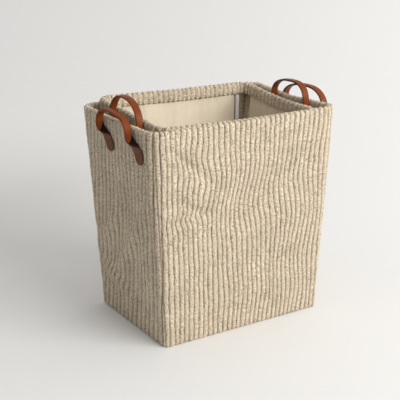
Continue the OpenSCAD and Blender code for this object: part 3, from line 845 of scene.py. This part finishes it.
def strap(bin_, side, crown, leg_z, square):
    """One leather strap. It is built as the left one; the right one is turned half round."""
    name = f"{bin_.name}_{side}"
    sign = -1.0 if side == "left" else 1.0
    lo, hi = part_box(f"{name}_handle")
    front_y, back_y = (lo.y, hi.y) if side == "left" else (-hi.y, -lo.y)
    inset = STRAP_GAP / 2 + STRAP_T / 2
    band_in = min(abs(lo.x), abs(hi.x)) - 1.0 * MM      # how far out the grip's inner layer is
    top = hi.z - inset
    front, tab = strap_half(front_y + inset, crown, top, leg_z, square)
    back, _ = strap_half(back_y - inset, crown, top, leg_z, square)
    front, back = (strap_points(rows, bin_, sign, band_in) for rows in (front, back))
    points = np.concatenate([front, back[:, -2::-1, ::-1]], axis=1)
    n, m = points.shape[1:3]
    grain_faces = grid_faces(n, m, flip=sign > 0)
    flesh_faces = grid_faces(n, m, flip=sign < 0) + n * m
    edge_faces = strap_edge_faces(n, m)
    if sign < 0:
        edge_faces = edge_faces[:, ::-1]
    # painted shade: the flesh side is painted darkest inside the fold, where both of its layers face
    # each other
    deep = np.zeros((2, n, m))
    deep[1] = smooth((points[1, :, :, 2] - POCKET_SHADE_Z) / POCKET_SHADE_FADE)
    faces = np.concatenate([grain_faces, flesh_faces, edge_faces])
    obj = make_mesh(f"{name}_strap", points, faces, GRAIN, attributes={"deep": deep})
    obj.data.materials.append(FLESH)
    obj.data.materials.append(EDGE)
    kinds = [0] * len(grain_faces) + [1] * len(flesh_faces) + [2] * len(edge_faces)
    obj.data.polygons.foreach_set("material_index", kinds)
    edge = obj.modifiers.new("edge", "BEVEL")
    edge.width, edge.segments, edge.limit_method = 0.25 * MM, 2, "ANGLE"
    edge.angle_limit = math.radians(50)
    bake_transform(obj)
    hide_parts(f"{name}_handle", f"{name}_tabs")
    return points[1], tab


def tab_stitches(bin_, side, flesh, tab):
    """Stitches near the long edges of both tabs, from the strap's flesh side and the number of
    its stations that each tab takes."""
    starts, ends = [], []
    outward = np.array([-TAB_STITCH_OUT if side == "left" else TAB_STITCH_OUT, 0, 0])
    last = len(flesh) - 1
    front_tab = range(TAB_STITCH_FROM, tab, TAB_STITCH_EVERY)
    back_tab = range(last - TAB_STITCH_FROM, last - tab, -TAB_STITCH_EVERY)
    for order, span in ((front_tab, TAB_STITCH_SPAN), (back_tab, -TAB_STITCH_SPAN)):
        for i in order:
            for lane in (TAB_STITCH_LANE, len(LANES) - 1 - TAB_STITCH_LANE):
                starts.append(flesh[i, lane] + outward)
                ends.append(flesh[i + span, lane] + outward)
    points, faces = capsule_rows(starts, ends, TAB_STITCH_R)
    obj = make_mesh(f"{bin_.name}_{side}_tab_stitches", points, faces, TAB_THREAD)
    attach(obj, f"{bin_.name}_bin")
    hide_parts(f"{bin_.name}_{side}_tab_threads")


# ---------------------------------------------------------------------- build
bins = {name: Bin(name) for name in BINS}
for bin_ in bins.values():
    rim_wire(bin_)
    for wall in WALLS:
        cloth = corduroy_wall(bin_, wall)
        width, narrow = 2 * bin_.reach(wall, bin_.height), 2 * bin_.reach(wall, 0)
        cloth = lining_wall(bin_, wall)
        width, narrow = 2 * bin_.halves(wall, bin_.height)[0], 2 * bin_.halves(wall, 0)[0]
    cuff_stitches(bin_)
    floor_cloth(bin_)
    bottom_cloth(bin_)

for (bin_name, side), (crown, leg_z, square, blend_z) in STRAPS.items():
    flesh, tab = strap(bins[bin_name], side, crown, leg_z, square)
    tab_stitches(bins[bin_name], side, flesh, tab)

# the CAD nodes that nothing replaces get a finish of their own
for name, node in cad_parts.items():
    if node.hide_render:
        continue
    node.data.materials.clear()
    node.data.materials.append(BOARD if name.endswith("_board") else SLEEVE)
    node.data.polygons.foreach_set("material_index", [0] * len(node.data.polygons))


# -------------------------------------------------------- floor, light, camera
def backdrop(material):
    """A pale floor that curves up into the wall behind, square to the camera."""
    profile = [(SWEEP_FRONT, 0.0), (SWEEP_NEAR, 0.0)]
    profile += [(SWEEP_NEAR + SWEEP_BEND * math.sin(a), SWEEP_BEND - SWEEP_BEND * math.cos(a))
                for a in np.linspace(0.08, math.pi / 2, 18)]
    profile += [(SWEEP_NEAR + SWEEP_BEND, SWEEP_HIGH)]
    along = np.array([math.sin(-AZIMUTH), math.cos(AZIMUTH)])
    across = np.array([along[1], -along[0]])
    points = [(*(along * d + across * w), z) for d, z in profile for w in (-SWEEP_HALF, SWEEP_HALF)]
    obj = make_mesh("backdrop", points, grid_faces(len(profile), 2, flip=True), material)


def area_light(name, place, aim, size, power, colour):
    """A soft box at place that faces aim."""
    data = bpy.data.lights.new(name, "AREA")
    data.shape, data.energy, data.color = "RECTANGLE", power, colour
    data.size, data.size_y = size
    obj = bpy.data.objects.new(name, data)
    bpy.context.scene.collection.objects.link(obj)
    obj.location = place
    obj.rotation_euler = (Vector(aim) - Vector(place)).to_track_quat("-Z", "Y").to_euler()


def room_light():
    """A pale room that is brightest towards ROOM_BRIGHT_WAY."""
    world = bpy.data.worlds.new("studio")
    world.use_nodes = True
    tree = world.node_tree
    background = tree.nodes["Background"]
    coords = tree.nodes.new("ShaderNodeTexCoord")
    facing = tree.nodes.new("ShaderNodeVectorMath")
    facing.operation = "DOT_PRODUCT"
    facing.inputs[1].default_value = ROOM_BRIGHT_WAY
    tree.links.new(coords.outputs["Generated"], facing.inputs[0])
    level = tree.nodes.new("ShaderNodeMath")
    level.operation = "MULTIPLY_ADD"
    level.inputs[1].default_value = ROOM_SWING
    level.inputs[2].default_value = ROOM_LEVEL
    level.use_clamp = True
    tree.links.new(facing.outputs["Value"], level.inputs[0])
    tree.links.new(level.outputs["Value"], background.inputs["Strength"])
    background.inputs["Color"].default_value = (*ROOM_COLOUR, 1)
    bpy.context.scene.world = world


def photo_camera():
    """A long lens at the photograph's angle, shifted to its framing."""
    data = bpy.data.cameras.new("camera")
    data.lens, data.sensor_width = LENS, SENSOR
    data.shift_x, data.shift_y = SHIFT
    camera = bpy.data.objects.new("camera", data)
    bpy.context.scene.collection.objects.link(camera)
    away = Vector((math.sin(AZIMUTH) * math.cos(ELEVATION),
                   -math.cos(AZIMUTH) * math.cos(ELEVATION),
                   math.sin(ELEVATION)))
    camera.location = Vector(AIM) + away * DISTANCE
    camera.rotation_euler = (-away).to_track_quat("-Z", "Y").to_euler()
    bpy.context.scene.camera = camera


backdrop(new_material("stage", STAGE_GREY, roughness=0.9, specular=0.1)[0])
area_light("key", KEY_PLACE, KEY_AIM, KEY_SIZE, KEY_WATTS, KEY_COLOUR)
room_light()
photo_camera()
bpy.context.scene.view_settings.view_transform = "Standard"
